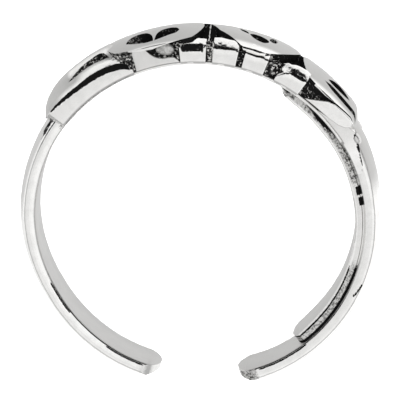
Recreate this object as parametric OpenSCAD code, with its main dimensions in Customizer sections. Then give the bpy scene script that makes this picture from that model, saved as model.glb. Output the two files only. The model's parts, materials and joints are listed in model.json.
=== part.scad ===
// Toe ring, open at the back, cast in silver with a raised leaf front, lying on its side.
// Millimetres. The hoop is drawn upright around the Z axis with the front at +Y,
// then laid down: its lower rim and its two ends touch the ground plane.

/* [Hoop] */
// Inner diameter of the hoop
inner_d = 15; // [13:0.5:18]
// Width of the plain hoop, along the toe
hoop_w = 2.3; // [1.8:0.1:2.6]
// Thickness of the hoop in the middle of its domed outside
hoop_t = 0.8; // [0.7:0.05:1]
// Fall of the domed outside from the middle to the rims
hoop_fall = 0.32; // [0.2:0.02:0.4]
// Opening between the two ends
gap_w = 3.6; // [2:0.2:5]
// How much the radius of the rounded ends exceeds half the hoop's width
end_blunt = 0.08; // [0.05:0.01:0.4]
// Bevel of each tip of the hoop where it meets the domed outside
tip_bevel = 0.25; // [0.1:0.05:0.4]
// Bevel along the two inner edges
inner_bevel = 0.08; // [0.02:0.01:0.12]
// Rounding of the two outer edges of the hoop
rim_soft = 0.2; // [0.05:0.05:0.3]

/* [Front] */
// Width of the raised front, along the toe
front_w = 3; // [2.8:0.1:3.6]
// Angle of the left end of the front, counted from +X
front_left = 143.5; // [138:0.5:150]
// Angle of the right end of the front
front_right = 28; // [24:1:34]
// Thickness of the sunk ground between the leaves
ground_t = 0.62; // [0.5:0.02:0.75]
// Depth to which the two sides of the front are cut back between the side bars
side_cut = 0.2; // [0.1:0.02:0.25]
// Thickness of the plain lip along the two inner edges of the front
lip_t = 0.13; // [0.08:0.01:0.2]
// Thickness of the front over its middle, at the highest leaf
crown_t = 1.52; // [1.3:0.02:1.8]
// Fall of the domed leaves from the middle to the sides
crown_fall = 0.4; // [0.3:0.02:0.5]
// Rounding of the two outer edges of the leaves and the end panel
crown_soft = 0.5; // [0.3:0.05:0.6]

/* [Side bars] */
// Thickness of the hoop where a side bar lies on it
bar_t = 1.14; // [0.9:0.02:1.3]
// Width of a side bar, along the toe
bar_w = 0.75; // [0.5:0.05:1]
// Rounding of the outer edge of a side bar
bar_round = 0.42; // [0.2:0.02:0.48]

/* [Leaves] */
// Width of the left and middle leaves
leaf_w = 2.9; // [2:0.1:2.95]
// Width of the right leaf
tail_leaf_w = 2.86; // [2:0.05:2.95]
// Radius of the rounded ends of the left and right leaves
leaf_end_r = 1.6; // [1.5:0.05:1.8]
// Height over the bore from which the leaves overhang the two sides
eave_t = 0.9; // [0.75:0.02:1]
// Height by which the leaves step down towards the right, from one to the next
leaf_lower = 0.09; // [0:0.01:0.15]
// How much the radius of the end panel's left end exceeds half its width
panel_blunt = 0.3; // [0.1:0.05:1]
// Radius of the end panel's left end, seen along the axis
panel_r = 0.86; // [0.8:0.02:1.1]
// Width of the two drop-shaped petals in the left leaf
petal_w = 0.96; // [0.8:0.04:1.2]
// How far the petals and the end panel's slot lie from the middle, towards the upper side
petal_up = 0.62; // [0:0.02:0.64]
slot_up = 0.95; // [0:0.05:1]
// Width of the slots in the end panel and the right leaf
slot_w = 0.56; // [0.3:0.02:0.6]
vein_w = 0.44; // [0.3:0.02:0.46]
long_vein_w = 0.32; // [0.24:0.02:0.36]
// Radius of the round grain beside the second leaf
grain_r = 0.34; // [0.2:0.02:0.4]

/* [Inner plate] */
// Thickness of the plate soldered inside the hoop
plate_t = 0.5; // [0.3:0.05:0.6]
// Width of the plate, along the toe
plate_w = 2; // [1.6:0.1:2.2]
// Angle of the upper end of the plate
plate_top = 58; // [50:1:64]
// Angle of the lower end of the plate
plate_bottom = -54; // [-62:1:-50]
// How much the radius of the plate's two ends exceeds half its width
plate_blunt = 0.4; // [0.1:0.05:1]

/* [Hidden] */
$fn = 96;
inner_r = inner_d / 2;
hoop_r = inner_r + hoop_t;
ground_r = inner_r + ground_t;
crown_r = inner_r + crown_t;
bar_top_r = inner_r + bar_t;
// Angle from the back of the hoop to each end
end_deg = asin(gap_w / 2 / inner_r);
hoop_from = end_deg - 90;
hoop_to = 270 - end_deg;
// Angle over which the front narrows to the hoop at each end
shoulder_deg = 3;
// Overlap of pieces that are cast as one
bite = 0.05;
// Reach of a cutter past the surface that it cuts
over = 1;

// Side bars: angle where each begins and ends, right to left
BAR_FROM = 0;
BAR_TO = 1;
bars = [
    [52.9, 62.3],
    [66.4, 73.9],
    [76, 83.9],
    [86.1, 94.5]
];

// Leaves: angle of the middle, angle from tip to tip, place in the row, width, and whether its
// ends are rounded
MID = 0;
SPAN = 1;
PLACE = 2;
WIDE = 3;
ROUND = 4;
leaves = [
    [102.35, 29.3, 1, leaf_w, true],
    [73.5, 31, 2, leaf_w, false],
    [42.8, 27.6, 3, tail_leaf_w, true]
];
// End panel: angle of its right end at the two rims, and depth of the notch between them
panel_right = 111;
panel_slant = 9;

// Tilt at which the lower rim of the front and the two ends of the hoop touch the ground
end_r = hoop_w / 2 + end_blunt;
end_curve = end_r - sqrt(end_r * end_r - hoop_w * hoop_w / 4);
end_touch_y = (hoop_r - hoop_fall) * cos(end_deg + end_curve / inner_r * 180 / PI);
front_touch_y = inner_r * sin(front_right + shoulder_deg);
rest_tilt = atan((front_w - hoop_w) / 2 / (front_touch_y + end_touch_y));
// Height of the hoop's centre over the ground, and how far it lies behind the outline's middle
lift = front_w / 2 * cos(rest_tilt) - front_touch_y * sin(rest_tilt);
end_reach = hoop_r * cos(end_deg + tip_bevel / hoop_r * 180 / PI);
back_y = (crown_r - leaf_lower - end_reach) / 2 * cos(rest_tilt);

// Length along the tangent, at the crown, of an angle on both sides of a leaf's middle
function chord(span) = 2 * crown_r * tan(span / 2);
// Radius of a dome that falls by "fall" over half of "wide"
function dome_r(wide, fall) = (wide * wide / 4 + fall * fall) / (2 * fall);

// Turns a radial section (x outwards, y along the axis) through part of the hoop
module sweep(from, to) {
    rotate([0, 0, from])
        rotate_extrude(angle = to - from)
            children();
}

// Lays a flat outline (x along the tangent, y along the axis) on a radius, reaching outwards
module radial(at, from_r, reach) {
    rotate([0, 0, at])
        translate([from_r, 0, 0])
            rotate([90, 0, 90])
                linear_extrude(height = reach)
                    children();
}

// Section with a flat inside and a domed outside, its two outer edges rounded
module domed_section(in_r, top_r, wide, fall, soft) {
    dome = dome_r(wide, fall);
    dome_mid = top_r - dome;
    side = wide / 2 - soft;
    lean = asin(side / (dome - soft));
    soft_mid = dome_mid + (dome - soft) * cos(lean);
    touch = side + soft * sin(lean);
    intersection() {
        translate([dome_mid, 0])
            circle(r = dome);
        union() {
            translate([in_r, -touch])
                square([top_r - in_r + over, 2 * touch]);
            translate([in_r, -wide / 2])
                square([soft_mid - in_r, wide]);
            for (up = [-1, 1])
                translate([soft_mid, up * side])
                    circle(r = soft);
        }
    }
}

// Pointed oval
module lens(long, wide) {
    arc = (long * long + wide * wide) / (4 * wide);
    intersection() {
        translate([0, arc - wide / 2])
            circle(r = arc);
        translate([0, wide / 2 - arc])
            circle(r = arc);
    }
}

// Drop with a round head and a point, pointing along x
module drop(head_r, long) {
    lean = acos(head_r / long);
    union() {
        circle(r = head_r);
        polygon([
            [head_r * cos(lean), -head_r * sin(lean)],
            [long, 0],
            [head_r * cos(lean), head_r * sin(lean)],
            [0, 0]
        ]);
    }
}

// What a rounded corner of radius r leaves over, drawn at the corner of the third quadrant
module corner_rest(r) {
    difference() {
        translate([-over, -over])
            square(r + over);
        translate([r, r])
            circle(r = r);
    }
}

// What a rounded end of radius r leaves over, drawn with its tip at the origin, facing x
module end_rest(r) {
    difference() {
        translate([-r, -r])
            square([r + over, 2 * r]);
        translate([-r, 0])
            circle(r = r);
    }
}

// Cutter that rounds an end seen from outside; side is 1 where it faces higher angles
module round_end(at, from_r, r, side) {
    radial(at, from_r, 2 * over)
        scale([side, 1])
            end_rest(r);
}

// Cutter that rounds an end seen along the axis, its tip on a radius
module nose_end(at, tip_r, wide, r, side) {
    rotate([0, 0, at])
        translate([tip_r, 0, -wide])
            linear_extrude(height = 2 * wide)
                rotate(side * 90)
                    end_rest(r);
}

// Cutter that bevels the outer edge of an end, seen along the axis
module bevel_end(at, out_r, wide, bevel, side) {
    rotate([0, 0, at])
        translate([out_r, 0, -wide])
            linear_extrude(height = 2 * wide)
                scale([1, side])
                    polygon([[-bevel, over], [-bevel, 0], [0, -bevel], [over, -bevel - over], [over, over]]);
}

// Cutters that narrow an end on a slant, over a length along the tangent
module end_slants(at, from_r, wide, narrow, long, side) {
    for (up = [-1, 1])
        radial(at, from_r, 2 * over)
            polygon([
                [side * bite, up * narrow / 2],
                [-side * long, up * wide / 2],
                [-side * long, up * wide],
                [side * bite, up * wide]
            ]);
}

// Open hoop with a domed outside and rounded ends
module hoop() {
    color("silver")
    difference() {
        sweep(hoop_from, hoop_to)
            difference() {
                domed_section(inner_r, hoop_r, hoop_w, hoop_fall, rim_soft);
                for (up = [-1, 1])
                    translate([inner_r, up * hoop_w / 2])
                        polygon([[-inner_bevel, 0], [0, -inner_bevel], [inner_bevel, 0], [0, inner_bevel]]);
            }
        round_end(hoop_to, inner_r - over / 2, end_r, 1);
        round_end(hoop_from, inner_r - over / 2, end_r, -1);
        bevel_end(hoop_to, hoop_r, hoop_w, tip_bevel, 1);
        bevel_end(hoop_from, hoop_r, hoop_w, tip_bevel, -1);
    }
}

// Sunk ground of the front, with a thin lip along both inner edges
module ground() {
    shoulder = shoulder_deg * PI / 180 * inner_r;
    color("dimgray")
    difference() {
        union() {
            sweep(front_right, front_left - shoulder_deg)
                translate([inner_r + bite, side_cut - front_w / 2])
                    square([ground_t - bite, front_w - 2 * side_cut]);
            sweep(front_right, front_left - shoulder_deg)
                translate([inner_r, -front_w / 2])
                    square([lip_t, front_w]);
        }
        end_slants(front_right, inner_r - bite, front_w, hoop_w, shoulder, -1);
    }
}

// Section of a side bar on the upper rim, with its outer edge rounded
module bar_section() {
    difference() {
        translate([inner_r + bite, front_w / 2 - bar_w])
            square([bar_t - bite, bar_w]);
        translate([bar_top_r, front_w / 2])
            rotate(180)
                corner_rest(bar_round);
    }
}

// Short bars along both sides of the front
module side_bars() {
    color("silver")
    for (bar = bars, up = [0, 1])
        mirror([0, 0, up])
            sweep(bar[BAR_FROM], bar[BAR_TO])
                bar_section();
}

// Swollen drop on both sides of the right leaf, rising away from the inner edge
drop_at = 41;
drop_long = 2.3;
drop_wide = 0.86;
drop_turn = 16;
module side_drops() {
    color("silver")
    for (up = [0, 1])
        mirror([0, 0, up])
            rotate([0, 0, drop_at])
                translate([inner_r + ground_t - bite, 0, front_w / 2 - bar_w])
                    rotate([0, 0, 90 + drop_turn])
                        linear_extrude(height = bar_w)
                            lens(drop_long, drop_wide);
}

// Body that the leaves are cut from: domed across, overhanging at both sides, and stepping
// down to the right
eave_in = 0.25;
module crown_body(from, to, place) {
    top_r = crown_r - place * leaf_lower;
    sweep(from, to)
        difference() {
            domed_section(ground_r - bite, top_r, front_w, crown_fall, crown_soft);
            for (up = [-1, 1])
                translate([inner_r, up * front_w / 2 - (up + 1) / 2 * eave_in])
                    square([eave_t, eave_in]);
        }
}

// Outline of a leaf: an oval with rounded ends, or a pointed one with one corner cut on a slant
slant_from = 0.13;
slant_mid = 1.45;
slant_up = 0.35;
slant_to = 2;
slant_low = 0.85;
module leaf_plan(long, wide, is_round) {
    if (is_round)
        intersection() {
            lens(long + wide, wide);
            union() {
                for (side = [-1, 1])
                    translate([side * (long / 2 - leaf_end_r), 0])
                        circle(r = leaf_end_r);
                translate([leaf_end_r - long / 2, -leaf_end_r])
                    square([long - 2 * leaf_end_r, 2 * leaf_end_r]);
            }
        }
    else
        difference() {
            lens(long, wide);
            polygon([
                [slant_from, wide / 2],
                [slant_mid, slant_up],
                [slant_to, -slant_low],
                [long, -slant_low],
                [long, wide / 2]
            ]);
        }
}

// Opening in a leaf, down to the ground
module opening(at, long, wide, up) {
    radial(at, ground_r, 2 * over)
        translate([0, up])
            lens(long, wide);
}

// Leaves in a row, end to end, with petal, pod and slot openings; their bodies reach past the
// outlines by an angle
leaf_over = 4;
module leaf_row() {
    color("gainsboro")
    difference() {
        for (leaf = leaves)
            intersection() {
                crown_body(
                    leaf[MID] - leaf[SPAN] / 2 - leaf_over,
                    leaf[MID] + leaf[SPAN] / 2 + leaf_over,
                    leaf[PLACE]
                );
                radial(leaf[MID], inner_r, 2 * over)
                    leaf_plan(chord(leaf[SPAN]), leaf[WIDE], leaf[ROUND]);
            }
        petals();
        pods();
        veins();
    }
}

// Two drop-shaped petals in the left leaf, head to head with a thin wall between
petal_at = 101.2;
petal_long = 0.74;
petal_wall = 0.12;
module petals() {
    for (side = [-1, 1])
        radial(petal_at, ground_r, 2 * over)
            translate([side * (petal_w + petal_wall) / 2, petal_up])
                scale([side, side])
                    drop(petal_w / 2, petal_long);
}

// A small and a large pod in a slanting row in the middle leaf, and a round dot beside them
pod_at = 71.2;
pod_up = 0.3;
pod_turn = -24;
pod_long = 1.05;
pod_w = 0.56;
pod_wall = 0.06;
small_pod_long = 0.64;
small_pod_w = 0.24;
dot_at = 66.9;
dot_r = 0.19;
module pods() {
    radial(pod_at, ground_r, 2 * over)
        translate([0, pod_up])
            rotate(pod_turn) {
                lens(pod_long, pod_w);
                translate([(pod_long + small_pod_long) / 2 + pod_wall, 0])
                    lens(small_pod_long, small_pod_w);
            }
    radial(dot_at, ground_r, 2 * over)
        circle(r = dot_r);
}

// A short and a long slot along the right leaf
vein_at = 43.3;
vein_long = 1.5;
vein_up = 0.2;
long_vein_at = 40.4;
long_vein_long = 2.35;
long_vein_up = 0.85;
module veins() {
    opening(vein_at, vein_long, vein_w, vein_up);
    opening(long_vein_at, long_vein_long, long_vein_w, long_vein_up);
}

// Long rounded panel at the left end, over the full width, with one slot
slot_at = 123;
slot_long = 2.2;
module end_panel() {
    color("silver")
    difference() {
        intersection() {
            sweep(panel_right, front_left)
                domed_section(inner_r + bite, crown_r, front_w, crown_fall, crown_soft);
            panel_outline();
        }
        opening(slot_at, slot_long, slot_w, slot_up);
        round_end(front_left, inner_r - over / 2, front_w / 2 + panel_blunt, 1);
        nose_end(front_left, inner_r + crown_t / 2, front_w, panel_r, 1);
    }
}

// Outline of the end panel, seen from outside, with a pointed notch at its right end
module panel_outline() {
    half = crown_r * tan((front_left - panel_right) / 2);
    slant = crown_r * tan(panel_slant);
    radial((front_left + panel_right) / 2, 0, crown_r + over)
        polygon([
            [-half, -front_w / 2 - over],
            [half + over, -front_w / 2 - over],
            [half + over, front_w / 2 + over],
            [-half, front_w / 2 + over],
            [slant - half, 0]
        ]);
}

// Round grain on each side, in the gap between the end panel and the first bar
grain_at = 98.8;
module grains() {
    color("silver")
    for (up = [-1, 1])
        rotate([0, 0, grain_at])
            translate([ground_r + grain_r / 3, 0, up * (front_w / 2 - grain_r)])
                sphere(r = grain_r);
}

// Curved plate soldered to the inside of the right half
module inner_plate() {
    color("darkgray")
    difference() {
        sweep(plate_bottom, plate_top)
            translate([inner_r - plate_t, -plate_w / 2])
                square([plate_t + bite, plate_w]);
        round_end(plate_top, inner_r - over, plate_w / 2 + plate_blunt, 1);
        round_end(plate_bottom, inner_r - over, plate_w / 2 + plate_blunt, -1);
    }
}

// The whole ring is one casting with the plate soldered in, laid on its side
module toe_ring() {
    color("silver")
    translate([0, -back_y, lift])
        rotate([rest_tilt, 0, 0])
            union() {
                hoop();
                ground();
                side_bars();
                side_drops();
                end_panel();
                leaf_row();
                grains();
                inner_plate();
            }
}

toe_ring();
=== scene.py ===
import json
from math import asin, atan2, copysign, cos, degrees, pi, radians, sin, sqrt, tan

import bpy
from mathutils import Matrix, Vector


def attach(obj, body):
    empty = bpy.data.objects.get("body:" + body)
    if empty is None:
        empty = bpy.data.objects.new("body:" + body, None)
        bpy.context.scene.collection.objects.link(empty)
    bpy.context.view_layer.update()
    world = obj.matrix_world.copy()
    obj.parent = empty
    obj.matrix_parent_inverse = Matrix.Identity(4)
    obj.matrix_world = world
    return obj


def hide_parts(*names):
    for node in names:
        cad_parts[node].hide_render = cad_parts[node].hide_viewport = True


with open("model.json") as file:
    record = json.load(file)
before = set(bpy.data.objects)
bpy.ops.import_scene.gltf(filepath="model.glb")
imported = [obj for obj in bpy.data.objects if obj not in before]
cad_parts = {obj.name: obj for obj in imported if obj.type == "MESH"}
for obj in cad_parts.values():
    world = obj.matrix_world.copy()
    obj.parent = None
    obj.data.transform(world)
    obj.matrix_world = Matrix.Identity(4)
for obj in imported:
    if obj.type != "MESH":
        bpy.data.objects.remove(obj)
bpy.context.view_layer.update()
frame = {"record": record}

# The ring is modelled in millimetres, unrolled: x runs to the right along the ring, y is the height
# over the bore, z runs along the toe. Each piece is then bent round the bore and laid down.
millimetre = 0.001
seat = frame["record"]["mounts"][0]
seatAxis = Vector(seat["axis"])
layDown = (
    Matrix.Translation(Vector(seat["pos_m"]))
    @ Matrix.Rotation(atan2(-seatAxis.y, seatAxis.z), 4, "X")
    @ Matrix.Scale(millimetre, 4)
)

ring = {
    "boreRadius": 7.5, "hoopThickness": 0.8, "hoopWidth": 2.3, "hoopFall": 0.32, "gap": 3.6,
    "groundHeight": 0.62, "frontWidth": 3.0, "crownHeight": 1.52, "crownFall": 0.4,
    "frontLeft": 143.5, "frontRight": 28.0,
}
boreRadius = ring["boreRadius"]
halfFront = ring["frontWidth"] / 2
crownRadius = boreRadius + ring["crownHeight"]


def pick(piece):
    bpy.ops.object.select_all(action="DESELECT")
    piece.select_set(True)
    bpy.context.view_layer.objects.active = piece


def openMesh(piece, kind="VERT"):
    pick(piece)
    bpy.ops.object.mode_set(mode="EDIT")
    bpy.ops.mesh.select_mode(type=kind)
    bpy.ops.mesh.select_all(action="SELECT")


def closeMesh():
    bpy.ops.object.mode_set(mode="OBJECT")


def link(thing):
    bpy.context.scene.collection.objects.link(thing)


def points(piece):
    return [vertex.co for vertex in piece.data.vertices]


def draw(name, corners, travel):
    # moves a filled circle's corners onto an outline, and draws the face out along travel
    bpy.ops.mesh.primitive_circle_add(vertices=len(corners), radius=1, fill_type="NGON")
    piece = bpy.context.object
    piece.name = name
    for vertex, corner in zip(piece.data.vertices, corners):
        vertex.co = corner
    openMesh(piece, "FACE")
    bpy.ops.mesh.extrude_region_move(TRANSFORM_OT_translate={"value": travel})
    bpy.ops.mesh.select_all(action="SELECT")
    bpy.ops.mesh.normals_make_consistent(inside=False)
    closeMesh()
    dress(piece, [worked])
    return piece


def plate(name, outline, low=-1, high=3):
    # an outline seen from outside the ring, given thickness outwards
    return draw(name, [(x, low, z) for x, z in outline], (0, high - low, 0))


def profile(name, outline, near=-3, far=3):
    # an outline seen along the toe, given depth
    return draw(name, [(x, y, near) for x, y in outline], (0, 0, far - near))


def strip(name, section, left, right):
    # a section drawn out along the ring
    return draw(name, [(left, y, z) for y, z in section], (right - left, 0, 0))


def carve(piece, cutter, how="DIFFERENCE"):
    pick(piece)
    cut = piece.modifiers.new("carve", "BOOLEAN")
    cut.operation = how
    cut.solver = "EXACT"
    cut.material_mode = "TRANSFER"
    cut.object = cutter
    bpy.ops.object.modifier_apply(modifier=cut.name)
    bpy.data.objects.remove(cutter)


def soften(piece, width, segments=2, angle=35):
    pick(piece)
    bevel = piece.modifiers.new("soften", "BEVEL")
    bevel.width = width
    bevel.segments = segments
    bevel.limit_method = "ANGLE"
    bevel.angle_limit = radians(angle)
    bpy.ops.object.modifier_apply(modifier=bevel.name)


def cutAcross(piece, step, axis=0):
    # cuts a piece across, so that it has edges to bend at
    places = [point[axis] for point in points(piece)]
    low, high = min(places), max(places)
    count = max(1, round((high - low) / step))
    normal = [0, 0, 0]
    normal[axis] = 1
    openMesh(piece)
    for turn in range(1, count):
        place = [0, 0, 0]
        place[axis] = low + (high - low) * turn / count
        bpy.ops.mesh.select_all(action="SELECT")
        bpy.ops.mesh.bisect(plane_co=place, plane_no=normal)
    closeMesh()


def roughen(piece, grain, strength, level=0.6, depth=3):
    # moves the surface in and out, as on a casting that isn't cleaned up
    pick(piece)
    lumps = bpy.data.textures.new("lumps", "CLOUDS")
    lumps.noise_scale = grain
    lumps.noise_depth = depth
    lift = piece.modifiers.new("lumps", "DISPLACE")
    lift.texture = lumps
    lift.strength = strength
    lift.mid_level = level
    bpy.ops.object.modifier_apply(modifier=lift.name)


def paint(piece, **rules):
    # how satin, sooty or rough the silver is at each point, from 0 to 1
    for name, rule in rules.items():
        layer = piece.data.attributes.new(name, "FLOAT", "POINT")
        for point, share in zip(points(piece), layer.data):
            value = rule(*point) if callable(rule) else rule
            share.value = min(1, max(0, value))


def ramp(value, low, high):
    # 0 under low, 1 over high, smooth between
    share = min(1, max(0, (value - low) / (high - low)))
    return share * share * (3 - 2 * share)


def within(value, low, full, fade, high):
    # 0 outside low to high, 1 between full and fade
    return ramp(value, low, full) * (1 - ramp(value, fade, high))


def bend(piece, angle, radius):
    # bends a piece round the ring's centre, its x = 0 at the angle; lengths are true at the radius
    piece.data.transform(Matrix.Translation((0, boreRadius - radius, 0)))
    places = [point.x for point in points(piece)]
    pick(piece)
    curl = piece.modifiers.new("bend", "SIMPLE_DEFORM")
    curl.deform_method = "BEND"
    curl.deform_axis = "Z"
    curl.angle = -(max(places) - min(places)) / radius
    bpy.ops.object.modifier_apply(modifier=curl.name)
    piece.data.transform(
        Matrix.Rotation(radians(angle - 90), 4, "Z") @ Matrix.Translation((0, radius, 0))
    )


def setPiece(piece, sharp):
    weld = 0.0005
    openMesh(piece)
    bpy.ops.mesh.remove_doubles(threshold=weld)
    bpy.ops.mesh.dissolve_degenerate(threshold=weld)
    bpy.ops.mesh.select_all(action="SELECT")
    bpy.ops.mesh.normals_make_consistent(inside=False)
    closeMesh()
    piece.data.transform(layDown)
    pick(piece)
    bpy.ops.object.shade_smooth_by_angle(angle=radians(sharp))
    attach(piece, "root")
    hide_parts("toe_ring")


def finishPiece(piece, angle, radius, sharp=32):
    bend(piece, angle, radius)
    setPiece(piece, sharp)


def finishPair(piece, angle, radius, sharp=32):
    # the near piece, and its mirror image on the far side
    bend(piece, angle, radius)
    twin = piece.copy()
    twin.data = piece.data.copy()
    twin.name = piece.name.replace("_near", "_far")
    twin.data.transform(Matrix.Scale(-1, 4, (0, 0, 1)))
    link(twin)
    setPiece(piece, sharp)
    setPiece(twin, sharp)


def arc(centreX, centreY, radius, start, end, steps):
    turns = [radians(start + (end - start) * turn / steps) for turn in range(steps + 1)]
    return [(centreX + radius * cos(turn), centreY + radius * sin(turn)) for turn in turns]


def ovalOutline(length, width, steps=40, tip=0.03):
    # a pointed oval, its two tips cut slightly blunt
    radius = (length * length + width * width) / (4 * width)
    reach = degrees(asin((length / 2 - tip) / radius))
    upper = arc(0, width / 2 - radius, radius, 90 - reach, 90 + reach, steps)
    lower = arc(0, radius - width / 2, radius, 270 - reach, 270 + reach, steps)
    return upper + lower


def domedSection(low, high, width, fall, soft, steps=36):
    # flat inside, domed outside, its outer edges rounded; points are (height, along the toe)
    dome = (width * width / 4 + fall * fall) / (2 * fall)
    side = width / 2 - soft
    lean = degrees(asin(side / (dome - soft)))
    cornerHeight = high - dome + (dome - soft) * cos(radians(lean))
    upper = arc(cornerHeight, side, soft, 90, lean, 10)
    top = arc(high - dome, 0, dome, lean, -lean, steps)
    lower = arc(cornerHeight, -side, soft, -lean, -90, 10)
    return [(low, width / 2)] + upper + top[1:-1] + lower + [(low, -width / 2)]


def along(angle, middle, radius):
    # distance to the right of the middle angle, measured at the radius
    return radians(middle - angle) * radius


def angleAt(x, middle=90, radius=boreRadius):
    # the angle at a distance to the right of the middle angle
    return middle - degrees(x / radius)


def pillOutline(length, radius, steps=16):
    reach = length / 2 - radius
    return arc(reach, 0, radius, -90, 90, steps) + arc(-reach, 0, radius, 90, 270, steps)


def bluntEnd(end, half, blunt, way=1, steps=20, spill=3):
    # a strip's rounded end, flatter than half a circle, drawn a few degrees past both sides
    radius, turn = half + blunt, 0 if way > 0 else 180
    lean = degrees(asin(half / radius)) + spill
    return arc(end - way * radius, 0, radius, turn - lean, turn + lean, steps)


def follow(line, angle):
    # the value at an angle, in a list of (angle, value) that runs from left to right
    if angle >= line[0][0]:
        return line[0][1]
    for (left, start), (right, end) in zip(line, line[1:]):
        if angle >= right:
            return start + (end - start) * (left - angle) / (left - right)
    return line[-1][1]


def flowing(corners, steps=5):
    # a smooth closed outline through its corners; a corner given twice stays sharp
    points = [Vector(corner) for corner in corners]
    outline = []
    for turn in range(len(points)):
        before, start, end, after = (points[(turn + k - 1) % len(points)] for k in range(4))
        if start == end:
            continue
        for step in range(steps):
            t = step / steps
            outline.append(tuple(0.5 * (
                2 * start + t * (end - before) + t * t * (2 * before - 5 * start + 4 * end - after)
                + t * t * t * (3 * start - 3 * end + after - before))))
    return outline


def around(corners, middle, radius):
    # an outline in degrees round the ring, turned into lengths from the middle angle
    return [(along(angle, middle, radius), value) for angle, value in corners]


class Wire:
    # a socket that takes part in sums
    def __init__(self, bench, socket):
        self.bench, self.socket = bench, socket

    def work(self, kind, first, second):
        return self.bench.node("Math", {0: first, 1: second}, operation=kind)

    def __add__(self, other):
        return self.work("ADD", self, other)

    def __sub__(self, other):
        return self.work("SUBTRACT", self, other)

    def __rsub__(self, other):
        return self.work("SUBTRACT", other, self)

    def __mul__(self, other):
        return self.work("MULTIPLY", self, other)

    __radd__, __rmul__ = __add__, __mul__

    def step(self, low, high):
        limits = {"Value": self, "From Min": low, "From Max": high, "To Min": 0.0, "To Max": 1.0}
        return self.bench.node("MapRange", limits, interpolation_type="SMOOTHSTEP")


class Bench:
    # the nodes of one material or of the world
    def __init__(self, owner):
        self.owner = owner
        owner.use_nodes = True
        self.tree = owner.node_tree

    def node(self, kind, inputs=None, output=0, **settings):
        made = self.tree.nodes.new("ShaderNode" + kind)
        for key, value in settings.items():
            setattr(made, key, value)
        for key, value in (inputs or {}).items():
            self.feed(made.inputs[key], value)
        return Wire(self, made.outputs[output])

    def feed(self, socket, value):
        if isinstance(value, Wire):
            self.tree.links.new(value.socket, socket)
        else:
            socket.default_value = value

    def place(self):
        # the point on the ring in millimetres, in the ring's own upright frame
        turn = layDown.inverted()
        return self.node("Mapping", {
            "Vector": self.node("TexCoord", output=3),
            "Location": turn.translation,
            "Rotation": turn.to_euler(),
            "Scale": turn.to_scale(),
        }, vector_type="POINT")

    def painted(self, name):
        return self.node("Attribute", output=2, attribute_name=name)

    def noise(self, vector, scale, detail, roughness=0.55):
        return self.node("TexNoise", {
            "Vector": vector, "Scale": scale, "Detail": detail, "Roughness": roughness})

    def mix(self, share, first, second):
        inputs = {"Factor": share, 6: first, 7: second}
        return self.node("Mix", inputs, output=2, data_type="RGBA")

    def bump(self, height, distance):
        # heights and distance are in millimetres
        return self.node("Bump", {"Height": height, "Distance": distance * millimetre})

    def finish(self, shader="Principled BSDF", **sockets):
        for key, value in sockets.items():
            self.feed(self.tree.nodes[shader].inputs[key.replace("_", " ")], value)
        return self.owner


silver = {
    "polished": (0.985, 0.98, 0.965, 1),
    "polishedHaze": (0.93, 0.925, 0.91, 1),
    "satin": (0.53, 0.527, 0.518, 1),
    "satinCloud": (0.55, 0.547, 0.537, 1),
    "rough": (0.68, 0.675, 0.66, 1),
    "pit": (0.06, 0.058, 0.055, 1),
    "soot": (0.003, 0.003, 0.003, 1),
    "crumb": (0.8, 0.79, 0.77, 1),
    # how fine each noise is, in lumps per millimetre
    "hazeFine": 2.2, "cloudFine": 1.3, "grainFine": 60.0, "pitFine": 9.5, "speckFine": 7.5,
    "crumbFine": 9.0,
    # the noise value where each one begins, and where it is full
    "sootEdge": (0.42, 0.58), "pitEdge": (0.43, 0.53), "crumbEdge": (0.64, 0.69),
}


def workedSilver():
    # polished, satin, filed rough or black, as each point is painted; the black is soot in places,
    # painted shadow and painted reflection in others
    bench = Bench(bpy.data.materials.new("worked_silver"))
    place = bench.place()
    satin, rough = bench.painted("satin"), bench.painted("rough")
    haze = bench.noise(place, silver["hazeFine"], 2.0)
    cloud = bench.noise(place, silver["cloudFine"], 3.0)
    grain = bench.noise(place, silver["grainFine"], 3.0, 0.7)
    pit = bench.noise(place, silver["pitFine"], 4.0, 0.75)
    speck = bench.noise(place, silver["speckFine"], 4.0, 0.7)
    # the black: soot, painted shadow and painted reflection, as painted on each piece
    soot = (bench.painted("soot") + 1.3 * (speck - 0.5)).step(*silver["sootEdge"])
    bright = bench.mix(haze.step(0.35, 0.7), silver["polished"], silver["polishedHaze"])
    brushed = bench.mix(cloud.step(0.3, 0.7), silver["satin"], silver["satinCloud"])
    filed = bench.mix(pit.step(*silver["pitEdge"]), silver["pit"], silver["rough"])
    colour = bench.mix(rough, bench.mix(satin, bright, brushed), filed)
    relief = 0.02 * haze + 0.002 * grain * (0.1 + satin) + 0.03 * pit * rough + 0.012 * speck * soot
    return bench.finish(
        Base_Color=bench.mix(soot, colour, silver["soot"]),
        Metallic=1 - 0.9 * soot,
        Roughness=0.07 + 0.05 * haze + 0.3 * satin + 0.25 * rough + 0.4 * soot,
        Specular_IOR_Level=0.0,
        Normal=bench.bump(relief, 1.0),
    )


def blackenedSilver():
    # black recess with worn silver crumbs, more of them where it is painted worn
    bench = Bench(bpy.data.materials.new("blackened_silver"))
    lump = bench.noise(bench.place(), silver["crumbFine"], 5.0, 0.75)
    crumb = (lump + 0.12 * bench.painted("worn")).step(*silver["crumbEdge"])
    return bench.finish(
        Base_Color=bench.mix(crumb, silver["soot"], silver["crumb"]),
        Metallic=crumb,
        Roughness=0.8 - 0.55 * crumb,
        Specular_IOR_Level=0.0,
        Normal=bench.bump(lump, 0.05),
    )


worked = workedSilver()
blackened = blackenedSilver()


def dress(piece, materials, rule=None):
    # rule gives the number of a face's material from its middle and its normal
    piece.data.materials.clear()
    for material in materials:
        piece.data.materials.append(material)
    for face in piece.data.polygons:
        face.material_index = rule(face.center, face.normal) if rule else 0


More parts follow.
